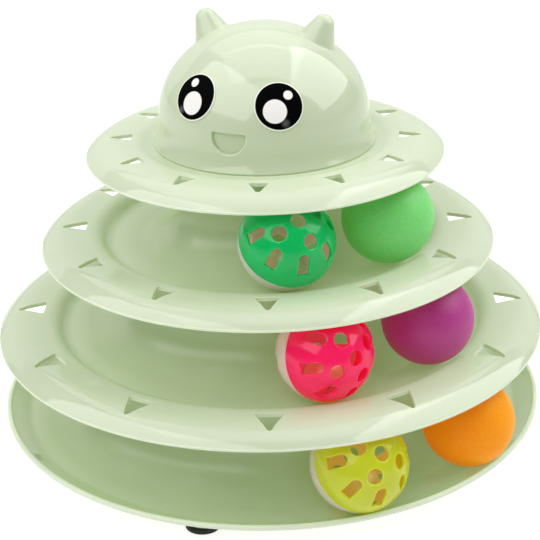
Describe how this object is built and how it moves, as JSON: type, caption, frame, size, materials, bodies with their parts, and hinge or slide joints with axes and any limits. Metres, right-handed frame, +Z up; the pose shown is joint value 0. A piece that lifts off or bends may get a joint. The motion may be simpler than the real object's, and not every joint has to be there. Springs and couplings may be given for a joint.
{
  "type": "cat ball track toy",
  "caption": "Tiered round cat toy: coloured plain and bell balls roll in ring tracks between stacked trays, with a cat-head dome on top.",
  "frame": {"origin": "on the floor, under the centre of the round base", "axes": "+Z up along the stack's axis, -Y towards the viewer of the picture, +X to the right"},
  "size_m": [0.25, 0.25, 0.193],
  "materials": {
    "mint_plastic": "gloss moulded plastic",
    "black_rubber": "matt",
    "eye_vinyl": "gloss print",
    "yellow_plastic": "gloss, slightly clear",
    "pink_plastic": "gloss",
    "green_plastic": "gloss",
    "ivory_plastic": "gloss",
    "bell_metal": "plated",
    "pellet_steel": "bright",
    "orange_plastic": "satin",
    "purple_plastic": "satin",
    "light_green_plastic": "satin"
  },
  "bodies": {
    "base": {"base_tray": "mint_plastic", "foot_pad_1": "black_rubber", "foot_pad_2": "black_rubber", "foot_pad_3": "black_rubber", "foot_pad_4": "black_rubber"},
    "lower_tier": {"lower_tier": "mint_plastic"},
    "middle_tier": {"middle_tier": "mint_plastic"},
    "top_tier": {"top_tier": "mint_plastic"},
    "head": {"cat_head": "mint_plastic", "left_eye": "eye_vinyl", "right_eye": "eye_vinyl"},
    "yellow_bell": {"yellow_rattle_bell": "bell_metal"},
    "yellow_pellet": {"yellow_rattle_pellet": "pellet_steel"},
    "yellow_shell": {"yellow_rattle_coloured_shell": "yellow_plastic", "yellow_rattle_ivory_shell": "ivory_plastic"},
    "orange_ball": {"orange_ball": "orange_plastic"},
    "pink_bell": {"pink_rattle_bell": "bell_metal"},
    "pink_pellet": {"pink_rattle_pellet": "pellet_steel"},
    "pink_shell": {"pink_rattle_coloured_shell": "pink_plastic", "pink_rattle_ivory_shell": "ivory_plastic"},
    "purple_ball": {"purple_ball": "purple_plastic"},
    "green_bell": {"green_rattle_bell": "bell_metal"},
    "green_pellet": {"green_rattle_pellet": "pellet_steel"},
    "green_shell": {"green_rattle_coloured_shell": "green_plastic", "green_rattle_ivory_shell": "ivory_plastic"},
    "light_green_ball": {"light_green_ball": "light_green_plastic"}
  },
  "joints": [
    {"name": "lower_tier_lift", "type": "slide", "parent": "base", "child": "lower_tier", "axis": [0, 0, 1], "range_m": [0, 0.06]},
    {"name": "middle_tier_lift", "type": "slide", "parent": "lower_tier", "child": "middle_tier", "axis": [0, 0, 1], "range_m": [0, 0.06]},
    {"name": "top_tier_lift", "type": "slide", "parent": "middle_tier", "child": "top_tier", "axis": [0, 0, 1], "range_m": [0, 0.06]},
    {"name": "head_lift", "type": "slide", "parent": "top_tier", "child": "head", "axis": [0, 0, 1], "range_m": [0, 0.05]},
    {"name": "yellow_orbit", "type": "hinge", "parent": "base", "child": "yellow_bell", "pos_m": [0, 0, 0.03015], "axis": [0, 0, 1], "continuous": true},
    {"name": "yellow_roll", "type": "hinge", "parent": "yellow_bell", "child": "yellow_shell", "pos_m": [0.03501, -0.10343, 0.03015], "axis": [0.3206, -0.9472, 0], "continuous": true},
    {"name": "orange_ball_orbit", "type": "hinge", "parent": "yellow_bell", "child": "orange_ball", "pos_m": [0, 0, 0.03015], "axis": [0, 0, 1], "range_deg": [-10.1, 306.5]},
    {"name": "yellow_pellet_rattle", "type": "slide", "parent": "yellow_bell", "child": "yellow_pellet", "axis": [0, 0, 1], "range_m": [0, 0.01]},
    {"name": "pink_orbit", "type": "hinge", "parent": "lower_tier", "child": "pink_bell", "pos_m": [0, 0, 0.07115], "axis": [0, 0, 1], "continuous": true},
    {"name": "pink_roll", "type": "hinge", "parent": "pink_bell", "child": "pink_shell", "pos_m": [0.02218, -0.08278, 0.07115], "axis": [0.2588, -0.9659, 0], "continuous": true},
    {"name": "purple_ball_orbit", "type": "hinge", "parent": "pink_bell", "child": "purple_ball", "pos_m": [0, 0, 0.07115], "axis": [0, 0, 1], "range_deg": [-9.7, 294.9]},
    {"name": "pink_pellet_rattle", "type": "slide", "parent": "pink_bell", "child": "pink_pellet", "axis": [0, 0, 1], "range_m": [0, 0.01]},
    {"name": "green_orbit", "type": "hinge", "parent": "middle_tier", "child": "green_bell", "pos_m": [0, 0, 0.11215], "axis": [0, 0, 1], "continuous": true},
    {"name": "green_roll", "type": "hinge", "parent": "green_bell", "child": "green_shell", "pos_m": [0.00779, -0.06252, 0.11215], "axis": [0.1236, -0.9923, 0], "continuous": true},
    {"name": "light_green_ball_orbit", "type": "hinge", "parent": "green_bell", "child": "light_green_ball", "pos_m": [0, 0, 0.11215], "axis": [0, 0, 1], "range_deg": [-10.2, 273.8]},
    {"name": "green_pellet_rattle", "type": "slide", "parent": "green_bell", "child": "green_pellet", "axis": [0, 0, 1], "range_m": [0, 0.01]}
  ],
  "couplings": [
    {"joint": "yellow_roll", "follows": "yellow_orbit", "ratio": -5.3139},
    {"joint": "pink_roll", "follows": "pink_orbit", "ratio": -4.1703},
    {"joint": "green_roll", "follows": "green_orbit", "ratio": -3.0657}
  ]
}
